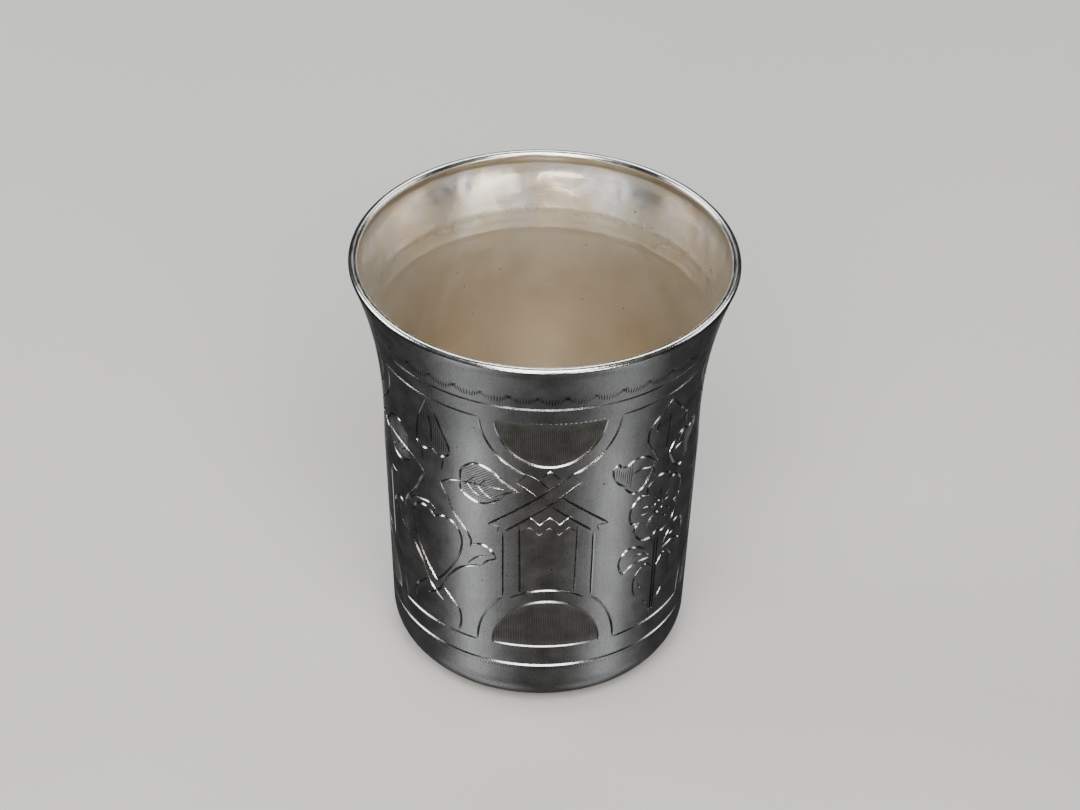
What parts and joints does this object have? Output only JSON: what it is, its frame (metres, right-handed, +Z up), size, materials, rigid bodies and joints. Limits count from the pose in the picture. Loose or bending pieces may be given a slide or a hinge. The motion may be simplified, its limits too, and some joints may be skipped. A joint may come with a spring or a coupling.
{
  "type": "silver beaker",
  "caption": "Small silver beaker with a flared mouth, a rounded lip and a rounded flat foot, its wall engraved with pavilions and flowering plants; stands by itself and holds a drink.",
  "frame": {"origin": "centre of the underside", "axes": "+Z up along the beaker's axis, -Y towards the front, where the first pavilion is engraved"},
  "size_m": [0.06, 0.06, 0.0713],
  "materials": {
    "silver": "satin engraved silver, aged"
  },
  "bodies": {
    "root": {"beaker": "silver"}
  },
  "joints": []
}
